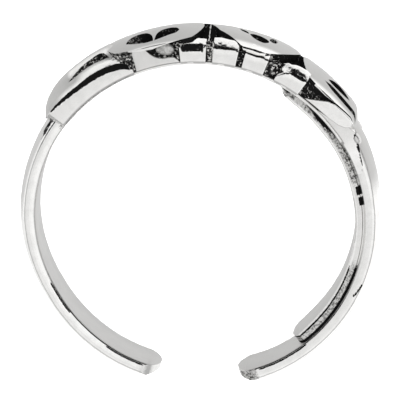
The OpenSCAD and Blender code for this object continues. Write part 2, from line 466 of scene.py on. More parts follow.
# from here on, angles are in degrees round the ring and heights are over the bore; lists of
# (angle, value) run from left to right; a span is where something begins, is full, fades and ends
hoop = {
    "innerBevel": 0.07, "rimSoft": 0.22, "edgeSoft": 0.06, "endBlunt": 0.08,
    "bulge": 0.05, "bulgeFrom": 0.16, "bulgeTo": 0.3, "cut": 0.14, "fineCut": 0.05,
    "leftShort": 0.24, "rightLong": 0.26,
    # the outer side of each end is rounded down: distance from the end, and height
    "tip": [(2.0, 1.5), (2.0, 0.82), (1.4, 0.76), (0.9, 0.66), (0.5, 0.54), (0.25, 0.44),
        (0.1, 0.36), (0, 0.3)],
    # how far it runs inward of the true circle, and how much thicker it is
    "inward": [(255, 0.17), (250, 0.15), (240, 0.13), (206, 0.13), (190, 0.05), (178, 0),
        (-64, 0), (-78, 0.04)],
    "swell": [(44, 0), (36, 0.12), (26, 0.14), (18, 0.08), (8, 0)],
    # black streak by the panel's foot, a painted shadow under the foot, a dash, and thin painted
    # reflection lines inside the legs
    "streak": [(158, 0.46), (152.5, 0.55), (149.5, 0.6), (147, 0.61), (142, 0.64)],
    "streakHalf": [(158, -0.06), (152, -0.03), (149.5, -0.01), (148.5, 0.03), (142, 0.04)],
    "streakSpan": (141, 142, 157, 158), "footShadowSpan": (140, 141, 143.6, 145),
    "dash": [(-22, 0.47), (-24.7, 0.4), (-27.4, 0.31)], "dashSpan": (-27.6, -27, -22.4, -21.8),
    "innerReflectionLines": [(200.5, 216.5), (231.5, 249), (-71.5, -50)],
    "innerReflectionHeights": (0.045, 0.06, 0.11, 0.15),
    "satinRight": (6, 16, 40, 44), "satinLeft": (120, 130, 170, 182),
    "leftEndSatin": 0.8, "rightEndFiled": 0.92,
}


def makeHoop():
    reach = (pi - asin(ring["gap"] / 2 / boreRadius)) * boreRadius
    left, right = hoop["leftShort"] - reach, reach + hoop["rightLong"]
    half, bulge, bevel = ring["hoopWidth"] / 2, hoop["bulge"], hoop["innerBevel"]
    side = [(0, half - bulge - bevel), (bevel, half - bulge),
            (hoop["bulgeFrom"], half - bulge / 2), (hoop["bulgeTo"], half)]
    dome = domedSection(
        0, ring["hoopThickness"], 2 * half, ring["hoopFall"], hoop["rimSoft"], steps=22)
    section = side + dome[1:-1] + [(y, -z) for y, z in side[::-1]]
    body = strip("hoop", section, left, right)
    ends = bluntEnd(right, half, hoop["endBlunt"], spill=2)
    ends += bluntEnd(left, half, hoop["endBlunt"], -1, spill=2)
    carve(body, plate("ends", ends), "INTERSECT")
    for end, way in ((left, -1), (right, 1)):
        tip = [(end - way * back, up) for back, up in hoop["tip"]]
        tip += [(end + way, tip[-1][1]), (end + way, tip[0][1])]
        carve(body, profile("tip", tip))
    soften(body, hoop["edgeSoft"], 4, 30)
    cutAcross(body, hoop["cut"])
    cutAcross(body, hoop["fineCut"], 1)

    def sootAt(x, y, z):
        angle = angleAt(x)
        off = abs(y - follow(hoop["streak"], angle)) - follow(hoop["streakHalf"], angle)
        streak = (1 - ramp(off, 0.02, 0.06)) * within(angle, *hoop["streakSpan"])
        # painted shadow on the hoop under the panel's foot
        footShadow = within(angle, *hoop["footShadowSpan"]) * (1 - ramp(y, 0.2, 0.35))
        dash = 1 - ramp(abs(y - follow(hoop["dash"], angle)), 0.03, 0.06)
        dash *= within(angle, *hoop["dashSpan"])
        # painted reflection: thin dark lines along the inner edge of the legs
        line = max(within(angle, low, low + 3, high - 2, high) for low, high in hoop["innerReflectionLines"])
        line *= within(y, *hoop["innerReflectionHeights"])
        return max(0.68 * streak, 0.5 * footShadow, dash, line) * (z > 0.6)

    def satinAt(x, y, z):
        angle = angleAt(x)
        inside = 1 - ramp(y, 0.005, 0.03)
        outerRight = ramp(y, 0.44, 0.54) * within(angle, *hoop["satinRight"])
        outerLeft = ramp(y, 0.52, 0.6) * within(angle, *hoop["satinLeft"])
        # satin on the left end, which also greys the tip as a painted shade
        fromEnd = x - left - hoop["leftEndSatin"]
        leftEnd = (1 - ramp(fromEnd, 0, 0.15)) * ramp(y, 0.03, 0.06)
        return max(inside, 0.95 * outerRight, 0.8 * outerLeft, 0.4 * leftEnd)

    def roughAt(x, y, z):
        # the right end is left as it was cut
        fromEnd = x - right + hoop["rightEndFiled"]
        return ramp(fromEnd, 0, 0.1) * ramp(z, 0.3, 0.6) * ramp(y, 0.03, 0.06)

    paint(body, satin=satinAt, soot=sootAt, rough=roughAt)
    for point in points(body):
        angle = angleAt(point.x)
        point.y -= follow(hoop["inward"], angle)
        point.y += follow(hoop["swell"], angle) * ramp(point.y, 0.25, 0.75)
    finishPiece(body, 90, boreRadius)


ground = {
    "right": 41.0, "side": 1.3, "soft": 0.06, "foot": 0.05, "rim": 0.86, "cut": 0.08,
    "grain": 0.11, "lumps": 0.07,
    # the floor's height from the rim to the middle, with the place along the toe
    "floor": [(0.66, 0.62), (0.68, 0.4), (0.7, 0.2), (0.7, 0)],
}
frontMiddle = (ring["frontLeft"] + ring["frontRight"]) / 2
groundLeft = along(ring["frontLeft"] - 3, frontMiddle, boreRadius)


def makeGround():
    side, soft, height = ground["side"], ground["soft"], ring["groundHeight"]
    section = [(ground["foot"], side), (height - soft, side), (height, side - soft)]
    section += [(height, ground["rim"])] + ground["floor"]
    section += [(y, -z) for y, z in section[-2::-1]]
    right = along(ground["right"], frontMiddle, boreRadius)
    body = strip("front_ground", section, groundLeft, right)
    for axis in range(3):
        cutAcross(body, ground["cut"], axis)
    dress(body, [blackened])
    roughen(body, ground["grain"], ground["lumps"])
    paint(body, worn=lambda x, y, z: 0.5 * ramp(abs(z), 1.1, 1.28))
    finishPiece(body, frontMiddle, boreRadius, 60)


# its section is in height and distance from the front's side
lip = {"section": [(0, 0.04), (0.04, 0), (0.1, 0), (0.13, 0.04)], "shoulder": 0.39, "cut": 0.14}


def makeLip():
    # thin lip along both inner edges, its right end narrowed to the hoop
    right = along(ring["frontRight"], frontMiddle, boreRadius)
    section = [(y, inset - halfFront) for y, inset in lip["section"]]
    section += [(y, -z) for y, z in section[::-1]]
    body = strip("front_lip", section, groundLeft, right)
    start, narrow = right - lip["shoulder"], ring["hoopWidth"] / 2
    upper = [(groundLeft - 1, 2), (start, 2), (start, halfFront + 0.01), (right + 0.02, narrow)]
    outline = [(x, -z) for x, z in upper] + upper[::-1]
    carve(body, plate("shoulders", outline), "INTERSECT")
    cutAcross(body, lip["cut"])
    paint(body, satin=lambda x, y, z: max(1 - ramp(y, 0.01, 0.035), ramp(y, 0.1, 0.125)))
    finishPiece(body, frontMiddle, boreRadius)


# black recess between the bars and beside the panel, filled with crumbs of silver: how worn it is,
# and its outline in angle and height
crumbs = {
    "panel": (0.7, [(113.6, 0.98), (112.6, 1.12), (110.6, 1.09), (110.0, 0.9), (109.3, 0.5),
        (109.9, 0.27), (110.3, 0.03), (110.8, 0.2), (111.3, 0.5), (112.2, 0.8)]),
    "grain": (0.7, [(96.6, 0.98), (94.4, 1.02), (94.4, 0.2), (95.3, 0.12), (96.2, 0.3),
        (95.6, 0.7)]),
    "groove_1": (0.9, [(86.3, 1.0), (83.7, 1.0), (84.0, 0.12), (85.7, 0.12)]),
    "groove_2": (0.5, [(76.2, 0.78), (73.8, 0.86), (73.7, 0.55), (74.0, 0.2), (74.9, 0.1),
        (75.7, 0.27)]),
    "groove_3": (0.8, [(66.6, 0.75), (65.1, 0.9), (62.6, 0.92), (62.7, 0.4), (63.5, 0.12),
        (65.9, 0.12)]),
}
crumbSize = {"back": 1.1, "face": 1.38, "cut": 0.05, "grain": 0.1, "lumps": 0.12}


def makeCrumbs():
    size, radius = crumbSize, boreRadius + 0.5
    for name, (wear, corners) in crumbs.items():
        middle = sum(angle for angle, height in corners) / len(corners)
        outline = around(corners, middle, radius)
        body = profile(f"crumbs_{name}_near", outline, size["back"], size["face"])
        for axis in range(3):
            cutAcross(body, size["cut"], axis)
        dress(body, [blackened])
        roughen(body, size["grain"], size["lumps"])
        paint(body, worn=wear)
        finishPair(body, middle, radius, 60)


# the foot of the near faces, with edges where its satin line ends: (height, along the toe)
faceFoot = [(0.04, halfFront), (0.13, halfFront), (0.16, halfFront)]


def footSatin(y):
    return 1 - ramp(y, 0.13, 0.155)


def shapeBand(body, middle, radius, faceTop, facet, low, wide):
    # lifts and widens the black band, which is a bevel over the near and far faces
    for point in points(body):
        x, y, z = point
        angle = angleAt(x, middle, radius)
        share = min(1, abs(z) / (halfFront - facet)) * min(1, max(0, (y - faceTop) / facet))
        change = (facet - follow(wide, angle)) * share
        lift = (follow(low, angle) - faceTop) * within(y, 0.15, faceTop, 1.0, 1.3)
        point.y = y - change + lift
        point.z = z + change * copysign(1, z)


# low is the height of the black band's lower edge, wide its width, along each bar
bars = [
    {"from": 94.5, "to": 86.1,
     "low": [(94.5, 0.66), (93.8, 0.6), (88, 0.59), (86.8, 0.66), (86.1, 0.7)],
     "wide": [(94.5, 0.06), (93.6, 0.17), (92.5, 0.2), (88.6, 0.2), (87.0, 0.12), (86.1, 0.05)],
     "black": (86.4, 94.3)},
    {"from": 83.9, "to": 76.0,
     "low": [(83.9, 0.74), (80, 0.74), (76, 0.78)],
     "wide": [(83.9, 0.12), (82, 0.17), (79.5, 0.12), (78, 0.13), (76, 0.05)]},
    {"from": 73.9, "to": 66.4,
     "low": [(73.9, 0.8), (70, 0.77), (66.4, 0.8)],
     "wide": [(73.9, 0.12), (72, 0.18), (69.5, 0.15), (68, 0.09), (66.4, 0.05)]},
    {"from": 62.3, "to": 52.9,
     "low": [(62.3, 0.3), (61.4, 0.42), (60.2, 0.58), (59, 0.67), (58.3, 0.69), (54.5, 0.71),
        (52.9, 0.78)],
     "wide": [(62.3, 0.2), (61.4, 0.2), (60.2, 0.12), (59.2, 0.05), (58.4, 0.1), (57, 0.14),
        (54.4, 0.16), (52.9, 0.05)]},
]
barSize = {
    "height": 1.1, "crest": 0.97, "back": 0.8, "faceTop": 0.6, "facet": 0.2, "edge": 0.02,
    "soft": 0.07, "cut": 0.07, "blackRise": 0.1, "blackTop": 0.905,
}


def makeBars():
    size, face = barSize, halfFront
    faceTop, facet, high, crest = (size[key] for key in ("faceTop", "facet", "height", "crest"))
    rim = faceTop + facet
    section = [(faceFoot[0][0], size["back"])] + faceFoot + [
        (faceTop - 0.2, face), (faceTop, face), (rim, face - facet),
        (rim + 0.04, face - facet - 0.06), (high - 0.03, crest + 0.04), (high, crest - 0.04),
        (high - 0.05, crest - 0.1), (0.7, size["back"]),
    ]
    for number, bar in enumerate(bars, 1):
        middle, radius = (bar["from"] + bar["to"]) / 2, boreRadius + 0.5
        reach = along(bar["to"], middle, radius)
        body = strip(f"side_bar_{number}_near", section, -reach, reach)
        soften(body, size["edge"], 2, 12)
        soften(body, size["soft"], 4, 60)
        cutAcross(body, size["cut"])
        shapeBand(body, middle, radius, faceTop, facet, bar["low"], bar["wide"])
        right, left = bar.get("black", (0, 0))
        if left:  # the first bar's band is taller, its top flatter and painted black as a painted reflection
            for point in points(body):
                rise = within(point.y, faceTop, rim, rim + 0.04, high - 0.03)
                point.y += size["blackRise"] * rise
        roughen(body, 0.5, 0.015, 0.5, 1)

        # painted reflection: the black band on the first bar
        def sootAt(x, y, z):
            top = size["blackTop"]
            on = within(y, faceTop - 0.02, faceTop, top, top + 0.03) * (abs(z) > 1.15)
            angle = angleAt(x, middle, radius)
            return 0.72 * on * within(angle, right, right + 0.5, left - 0.5, left)

        def satinAt(x, y, z):
            return max(0.1 * within(y, 0.2, 0.55, 0.55, 0.6), footSatin(y))

        paint(body, satin=satinAt, soot=sootAt)
        finishPair(body, middle, radius)


panel = {
    "left": 145.4, "right": 110.7, "slant": 5.0, "endBlunt": 0.57, "faceTop": 0.66, "facet": 0.18,
    "crown": 1.5, "flat": 0.62, "rise": 0.75, "edgeSoft": 0.045, "cut": 0.1,
    # the black band's lower edge and width
    "low": [(142, 1.02), (139.5, 0.95), (134.2, 0.82), (129, 0.74), (121.3, 0.7), (117.4, 0.63),
        (114, 0.53), (112.4, 0.42), (111, 0.3)],
    "wide": [(142, 0.01), (140.3, 0.02), (138, 0.05), (134, 0.09), (130, 0.13), (124, 0.18),
        (115, 0.2), (112, 0.16), (111, 0.1)],
    "bandSpan": (111.2, 111.6, 140.4, 141),
    # how the top is lifted or lowered, and how far along the toe it is satin
    "crownLift": [(145.6, -0.58), (143.5, -0.36), (140.5, -0.18), (137, -0.06), (133, 0), (121, 0),
        (116, -0.02), (113.5, -0.1), (112, -0.2), (110.5, -0.36)],
    "satinEdge": [(142, 1.5), (137, 1.4), (131, 1.2), (126, 1.05), (117, 0.93), (111, 0.88)],
    # brighter beside the slot
    "brightSpan": (115.5, 117, 129.5, 131), "brightAlong": (0.25, 0.35, 0.72, 0.8),
    "foot": [(150, 0.62), (142.9, 0.6), (142.9, 0.36), (142.3, 0.14), (141, 0.0), (140.6, -1),
        (150, -1)],
    # angle and place along the toe; a corner given twice is sharp
    "slot": [(131.2, 0.8), (131.2, 0.8), (128.4, 0.7), (125.0, 0.6), (122.0, 0.55),
        (119.4, 0.5), (117.8, 0.62), (116.5, 0.92), (116.5, 0.92), (118.4, 0.91),
        (121.0, 0.88), (125.3, 0.85), (129.6, 0.86)],
    "slotWear": 0.7,
}


def blackOpening(corners, middle, floor=0.55):
    # a cutter that leaves black walls and a black floor
    outline = flowing(around(corners, middle, crownRadius))
    cutter = plate("opening", outline, floor)
    dress(cutter, [blackened])
    return cutter


def flatten(body, low):
    # the far half of the top falls away less than the near half
    for point in points(body):
        if point.z < 0:
            point.y += 0.067 * point.z ** 2 * ramp(point.y, low, low + 0.3)


def makePanel():
    middle = (panel["left"] + panel["right"]) / 2
    reach = along(panel["right"], middle, crownRadius)
    slant = radians(panel["slant"]) * crownRadius
    face, top, faceTop, facet = halfFront, panel["crown"], panel["faceTop"], panel["facet"]
    rim, flat, rise = faceTop + facet, panel["flat"], panel["rise"]
    inner = face - facet - 0.06
    slope = [(rim + 0.05 + rise * back, inner - back) for back in (0, 0.2, 0.4, inner - flat)]
    near = faceFoot + [(0.3, face), (faceTop - 0.1, face), (faceTop, face), (rim, face - facet)]
    near += slope
    edge = slope[-1][0]
    crown = [(top - (top - edge) * (z / 4) ** 2, flat * z / 4) for z in range(3, -4, -1)]
    section = near + crown + [(y, -z) for y, z in near[::-1]]
    body = strip("end_panel", section, -reach, reach)
    outline = bluntEnd(-reach, face, panel["endBlunt"], -1, 24)
    outline += [(reach, -2), (reach, -face), (reach - slant, 0), (reach, face), (reach, 2)]
    carve(body, plate("panelOutline", outline), "INTERSECT")
    carve(body, profile("foot", around(panel["foot"], middle, crownRadius)))
    soften(body, panel["edgeSoft"], 3, 40)
    carve(body, blackOpening(panel["slot"], middle))
    cutAcross(body, panel["cut"])
    shapeBand(body, middle, crownRadius, faceTop, facet, panel["low"], panel["wide"])

    # painted reflection: the black band along the panel's facet
    def sootAt(x, y, z):
        angle = angleAt(x, middle, crownRadius)
        low = follow(panel["low"], angle)
        high = low + follow(panel["wide"], angle)
        on = within(y, low - 0.03, low - 0.01, high + 0.02, high + 0.05)
        return on * within(angle, *panel["bandSpan"]) * (abs(z) > 1.2)

    paint(body, soot=sootAt)  # before the top is lifted, because the band goes by height
    for point in points(body):
        lift = follow(panel["crownLift"], angleAt(point.x, middle, crownRadius))
        point.y += lift * ramp(point.y, 0.75, 1.45)

    def satinAt(x, y, z):
        angle = angleAt(x, middle, crownRadius)
        edge = follow(panel["satinEdge"], angle)
        on = (1 - ramp(abs(z), edge - 0.06, edge + 0.06)) * ramp(y, 0.8, 0.86)
        beside = within(angle, *panel["brightSpan"]) * within(z, *panel["brightAlong"])
        nearFace = max(0.18 * ramp(y, 0.16, 0.55), footSatin(y)) * ramp(z, 1.42, 1.48)
        return max(on * ramp(angle, 112, 117) * (1 - 0.75 * beside), nearFace)

    paint(body, satin=satinAt, worn=panel["slotWear"])
    flatten(body, 0.8)
    finishPiece(body, middle, crownRadius)


# eave is the lower edge of the near and far sides; openings are in angle and place along the toe;
# worn is the share of silver crumbs in them, and its span
leaves = [
    {"name": "leaf_left", "angle": 102.3, "span": 29.9, "top": 1.43, "soft": 0.14,
     "satinEdge": 1.28, "round": True, "worn": (0.9, 104, 109, 180, 181),
     "eave": [(120, 1.12), (110, 1.06), (106.5, 0.94), (102.6, 0.91), (98.6, 1.01), (94.7, 1.1),
        (84, 1.12)],
     "openings": [
         [(110.5, 0.77), (110.5, 0.77), (109.6, 0.45), (108.0, 0.2), (106.0, 0.14),
        (104.2, 0.25), (102.8, 0.55), (102.15, 0.9), (102.15, 1.12), (102.15, 1.12),
        (104.5, 1.14), (107.0, 1.05), (109.0, 0.92)],
         [(101.75, 1.12), (101.75, 1.12), (101.4, 0.82), (100.7, 0.5), (99.2, 0.22),
        (97.0, 0.1), (95.3, 0.2), (94.4, 0.48), (94.4, 0.48), (95.3, 0.74), (97.1, 0.86),
        (99.3, 1.0)],
     ]},
    {"name": "leaf_middle", "angle": 73.5, "span": 31.4, "top": 1.39, "soft": 0.42,
     "satinEdge": 0.92, "round": False, "worn": (2.2, 65, 65.01, 68, 68.1),
     "eave": [(92, 0.93), (54, 0.93)],
     "openings": [
         [(77.2, -0.42), (77.2, -0.42), (76.0, -0.36), (74.7, -0.12), (74.2, 0.16),
        (74.2, 0.16), (75.3, 0.06), (76.5, -0.12)],
         [(74.0, 0.14), (74.0, 0.14), (72.8, -0.02), (71.2, -0.02), (69.6, 0.08), (68.3, 0.26),
        (68.1, 0.47), (69.4, 0.66), (71.4, 0.62), (73.1, 0.42)],
         [(68.0, 0.1), (67.6, -0.2), (66.7, -0.36), (65.8, -0.25), (65.6, 0.05), (66.2, 0.28),
        (67.3, 0.28)],
     ]},
    {"name": "leaf_right", "angle": 42.8, "span": 27.8, "top": 1.3, "soft": 0.26,
     "satinEdge": 1.12, "round": True, "worn": (0, 0, 1, 180, 181),
     "eave": [(60, 0.97), (51.9, 0.89), (46, 0.87), (43.8, 0.9), (39.5, 0.98), (34.7, 1.04),
        (24, 1.05)],
     "openings": [
         [(47.4, 0.34), (47.4, 0.34), (45.6, -0.02), (43.3, -0.2), (41.0, -0.06), (38.4, 0.3),
        (38.4, 0.3), (40.2, 0.44), (43.0, 0.5), (45.7, 0.47)],
         [(48.3, 0.7), (48.3, 0.7), (46.0, 0.62), (43.5, 0.66), (40.0, 0.7), (36.5, 0.7),
        (34.0, 0.74), (31.8, 0.88), (31.8, 0.88), (34.7, 0.95), (38.4, 1.0), (42.0, 0.99),
        (45.4, 0.91)],
     ]},
]
leafShape = {
    "width": 2.94, "foot": 0.57, "inset": 0.02, "endRadius": 1.6, "eaveDepth": 0.27,
    "edge": 0.03, "cut": 0.12, "rightDrop": 0.45, "rightShort": 0.14,
    # the middle leaf's left end runs aslant
    "slant": [(-0.13, 1.5), (-1.45, 0.35), (-2.0, -0.85), (-4, -0.85), (-4, 1.5)],
}


def satinDome(top, edge):
    # satin on the domed top as far as its edge, polished beyond
    radius = (halfFront ** 2 + ring["crownFall"] ** 2) / (2 * ring["crownFall"])

    def share(x, y, z):
        depth = top - radius + sqrt(max(0, radius * radius - z * z)) - y
        return (1 - ramp(abs(z), edge, edge + 0.2)) * (1 - ramp(depth, 0.03, 0.07))
    return share


def makeLeaves():
    shape = leafShape
    wide, deep = shape["width"], halfFront - shape["eaveDepth"]
    for leaf in leaves:
        top, middle, isRight = leaf["top"], leaf["angle"], leaf["name"] == "leaf_right"
        length = radians(leaf["span"]) * crownRadius
        section = domedSection(shape["foot"], top, 2 * (halfFront - shape["inset"]),
                               ring["crownFall"], leaf["soft"], 28)
        body = strip(leaf["name"], section, -length, length)
        outline = ovalOutline(length + wide * leaf["round"], wide)
        carve(body, plate("sides", outline), "INTERSECT")
        if leaf["round"]:
            carve(body, plate("ends", pillOutline(length, shape["endRadius"])), "INTERSECT")
        else:
            carve(body, plate("slant", shape["slant"]))
        line = around(leaf["eave"], middle, crownRadius)
        under = [(line[0][0], -1)] + line + [(line[-1][0], -1)]
        carve(body, profile("eaveNear", under, near=deep))
        carve(body, profile("eaveFar", under, far=-deep))

        def onWall(center, normal):
            # walls towards the hollows are black, those on the near and far sides polished
            side = abs(center.z) > deep + 0.1 and abs(normal.z) > 0.5
            last = isRight and center.x > length / 2 - 1.4
            return 0 if abs(normal.y) > 0.35 or side or last else 1

        dress(body, [worked, blackened], onWall)
        soften(body, shape["edge"], 2, 40)
        for corners in leaf["openings"]:
            carve(body, blackOpening(corners, middle))
        cutAcross(body, shape["cut"])

        amount, *span = leaf["worn"]

        def wornAt(x, y, z):
            return amount * within(angleAt(x, middle, crownRadius), *span)

        paint(body, satin=satinDome(top, leaf["satinEdge"]), worn=wornAt)
        flatten(body, 0.9)
        if isRight:  # its right end comes down to the hoop
            for point in points(body):
                past = ramp(point.x, length / 2 - 1.1, length / 2 + 0.1)
                point.y -= shape["rightDrop"] * past * ramp(point.y, 0.6, 1.2)
                point.x -= shape["rightShort"] * past
        finishPiece(body, middle, crownRadius)


# black filling between the leaves; its line is in place along the toe and height
hollows = [
    {"name": "hollow_left", "from": 88.0, "to": 83.4,
     "line": [(-1.3, 1.2), (-0.9, 1.3), (-0.2, 1.32), (0.1, 1.2), (0.5, 0.97), (0.9, 0.74),
        (1.0, 0.6)]},
    {"name": "hollow_right", "from": 60.0, "to": 55.4,
     "line": [(-1.3, 1.0), (-0.9, 1.14), (-0.2, 1.14), (0.2, 0.98), (0.6, 0.8), (0.9, 0.6)]},
]


def makeHollows():
    foot, radius = 0.5, boreRadius + 1.2
    for hollow in hollows:
        middle, line = (hollow["from"] + hollow["to"]) / 2, hollow["line"]
        reach = along(hollow["to"], middle, radius)
        section = [(foot, line[0][0])] + [(height, z) for z, height in line]
        section.append((foot, line[-1][0]))
        body = strip(hollow["name"], section, -reach, reach)
        cutAcross(body, 0.1)
        dress(body, [blackened])
        finishPiece(body, middle, radius)


ridge = {
    "angle": 85.6, "width": 0.1, "low": -0.06, "high": 0.08, "far": -0.5, "near": 1.0,
    "least": 0.74, "cut": 0.035, "grain": 0.09, "rough": 0.6, "soot": 0.42,
}


def makeRidge():
    # beaded ridge across the black hollow between the left and middle leaves
    half, low, high = ridge["width"] / 2, ridge["low"], ridge["high"]
    section = [(-half, low), (half, low), (half * 0.6, high), (-half * 0.6, high)]
    body = profile("ground_ridge", section, ridge["far"], ridge["near"])
    cutAcross(body, ridge["cut"], 2)
    cutAcross(body, ridge["cut"], 0)
    roughen(body, ridge["grain"], ridge["grain"])
    paint(body, rough=ridge["rough"], soot=ridge["soot"])
    line = [(-z, height) for z, height in hollows[0]["line"]]
    for point in points(body):
        point.y += max(ridge["least"], follow(line, -point.z))
    finishPiece(body, ridge["angle"], boreRadius + 1.1, 60)


def ball(name, sizes, segments, rings):
    bpy.ops.mesh.primitive_uv_sphere_add(segments=segments, ring_count=rings, radius=1)
    piece = bpy.context.object
    piece.name = name
    piece.data.transform(Matrix.Diagonal((*sizes, 1)))
    dress(piece, [worked])
    return piece


grain = {
    "sizes": (0.47, 0.34, 0.32), "angle": 99.0, "up": 0.75, "turn": -0.12, "flat": 0.25,
    "satin": 0.75, "rough": 0.35,
}


def makeGrains():
    # round grain on each side, beside the left leaf
    length, height, depth = grain["sizes"]
    body = ball("grain_near", grain["sizes"], 48, 24)
    for point in points(body):  # narrower to the left, like a pear, and flat in front
        share = (length - point.x) / (2 * length)
        point.y *= 1.08 - 0.35 * share
        z = point.z * (1 - 0.2 * share)
        point.z = min(z, grain["flat"] + 0.1 * z)
    body.data.transform(
        Matrix.Translation((0, grain["up"], halfFront - depth))
        @ Matrix.Rotation(grain["turn"], 4, "Z"))
    paint(
        body,
        satin=lambda x, y, z: grain["satin"] * ramp(z, 1.28, 1.36),
        rough=lambda x, y, z: grain["rough"] * ramp(z, 1.28, 1.36),
        soot=lambda x, y, z: 1.3 * (1 - ramp(z, 1.12, 1.24)),
    )
    finishPair(body, grain["angle"], boreRadius + 0.6)


knob = {"sizes": (0.3, 0.17, 0.26), "angle": 28.6, "up": 0.7, "along": 1.12, "satin": 0.6}


def makeKnobs():
    # small rounded knob on each side of the right leaf's foot, with a painted shadow round its
    # lower left
    body = ball("knob_near", knob["sizes"], 32, 20)
    body.data.transform(Matrix.Translation((0, knob["up"], knob["along"])))
    paint(
        body,
        satin=knob["satin"],
        # painted shadow round the knob's lower left
        soot=lambda x, y, z: ramp(-x - 0.8 * (y - knob["up"]), 0.13, 0.17),
    )
    finishPair(body, knob["angle"], boreRadius + knob["up"])


def sidePiece(name, shape):
    # an outline on the near side, given depth along the toe and rounded
    outline = around(shape["outline"], shape["middle"], shape["radius"])
    body = profile(name, outline, shape["back"], shape["face"])
    soften(body, shape["soft"], shape["segments"], shape["corner"])
    cutAcross(body, 0.1)
    return body


web = {
    "middle": 102.0, "radius": boreRadius + 0.4, "back": 1.0, "face": 1.45,
    "soft": 0.07, "segments": 3, "corner": 25, "hollow": 0.14, "satin": 0.4, "soot": 0.6,
    "outline": [
        (110.2, 0.05), (94.7, 0.05), (94.8, 0.18), (96.3, 0.38), (98.1, 0.4), (100.0, 0.4),
        (101.6, 0.46), (102.7, 0.54), (103.9, 0.7), (104.9, 0.9), (106.2, 1.02), (109.0, 1.1),
        (109.8, 0.8), (109.6, 0.5),
    ],
}


def makeWebs():
    # bright web on each side, between the end panel and the first bar
    body = sidePiece("web_near", web)
    for point in points(body):  # hollowed towards its upper left corner
        if point.z > 1.2:
            hollow = ramp(point.y, 0.25, 0.9) * (1 - ramp(point.x, -0.8, 0.4))
            point.z -= web["hollow"] * hollow
    paint(
        body,
        satin=web["satin"],
        soot=lambda x, y, z: web["soot"] * (1 - ramp(x, -1.1, -0.85)) * ramp(y, 0.2, 0.5),
    )
    finishPair(body, web["middle"], web["radius"])


shoulder = {
    "middle": 31.0, "radius": boreRadius + 0.4, "back": 0.7, "face": 1.42,
    "soft": 0.16, "segments": 5, "corner": 50, "foot": 0.27,
    "satin": 0.35, "satinSpan": (26, 31, 44, 47), "soot": 0.66, "sootSpan": (17, 21, 30, 32),
    "outline": [
        (49.0, 0.05), (45.0, 0.12), (41.0, 0.22), (38.0, 0.36), (35.5, 0.54), (33.0, 0.72),
        (31.0, 0.8), (28.5, 0.74), (26.0, 0.62), (23.0, 0.5), (19.0, 0.42), (17.0, 0.3),
        (17.0, 0.05),
    ],
}


def makeShoulders():
    # smooth shoulder on each side, where the front runs out into the hoop on the right
    middle, radius = shoulder["middle"], shoulder["radius"]
    body = sidePiece("shoulder_near", shoulder)
    cutAcross(body, 0.1, 1)
    for point in points(body):  # comes down to the hoop's own side
        if point.z > 1:
            point.z -= shoulder["foot"] * ramp(point.x, -0.9, 1.7)

    def sootAt(x, y, z):
        # black along its upper edge
        angle = angleAt(x, middle, radius)
        under = follow(shoulder["outline"][:-1], angle) - y
        thick = 0.05 + 0.06 * ramp(angle, 24, 26)
        edge = 1 - ramp(under, thick, thick + 0.05)
        return shoulder["soot"] * edge * within(angle, *shoulder["sootSpan"])

    def satinAt(x, y, z):
        return shoulder["satin"] * within(angleAt(x, middle, radius), *shoulder["satinSpan"])

    paint(body, satin=satinAt, soot=sootAt)
    finishPair(body, middle, radius)


belly = {
    "middle": 42.0, "radius": boreRadius + 0.6, "back": 0.75, "face": halfFront,
    "soft": 0.16, "segments": 6, "corner": 60,
    "outline": [
        (50.6, 0.16), (48.6, 0.3), (46.4, 0.51), (43.9, 0.77), (41.6, 0.89), (38.6, 0.95),
        (35.4, 1.0), (33.6, 0.94), (33.0, 0.78), (33.9, 0.56), (35.9, 0.38), (39.4, 0.25),
        (43.0, 0.2), (47.0, 0.17),
    ],
}


def makeBellies():
    # swollen drop on each side of the right leaf
    body = sidePiece("side_drop_near", belly)
    finishPair(body, belly["middle"], belly["radius"])


innerPlate = {
    "top": 58.5, "bottom": -54.0, "half": 1.0, "thick": 0.52, "round": 0.1, "seam": 0.1,
    "endBlunt": 0.4, "edgeSoft": 0.03, "cut": 0.1, "fineCut": 0.05,
    # its thickness, and how far it reaches along the toe
    "thickness": [(58.5, 0.3), (56, 0.42), (52, 0.5), (38, 0.52), (23, 0.46), (0, 0.42),
        (-20, 0.46), (-45, 0.52), (-54, 0.46)],
    "reach": [(20, 1.0), (8, 1.1), (-8, 1.1), (-20, 1.0)],
    # the black part of its side begins at these heights, against its own outer face
    "black": [(58.5, 0.0), (57.6, -0.28), (55.6, -0.24), (54.6, -0.06), (49, -0.06), (46, -0.17),
        (42, -0.27), (38, -0.27), (34, -0.14), (31, -0.05), (30, 0.1)],
    # two dashes: their spans, and the height over which each begins
    "firstDash": (9.7, 10.1, 13, 13.01), "firstFrom": -0.26,
    "secondDash": (6.0, 6.3, 9.0, 9.3), "secondFrom": -0.2,
}


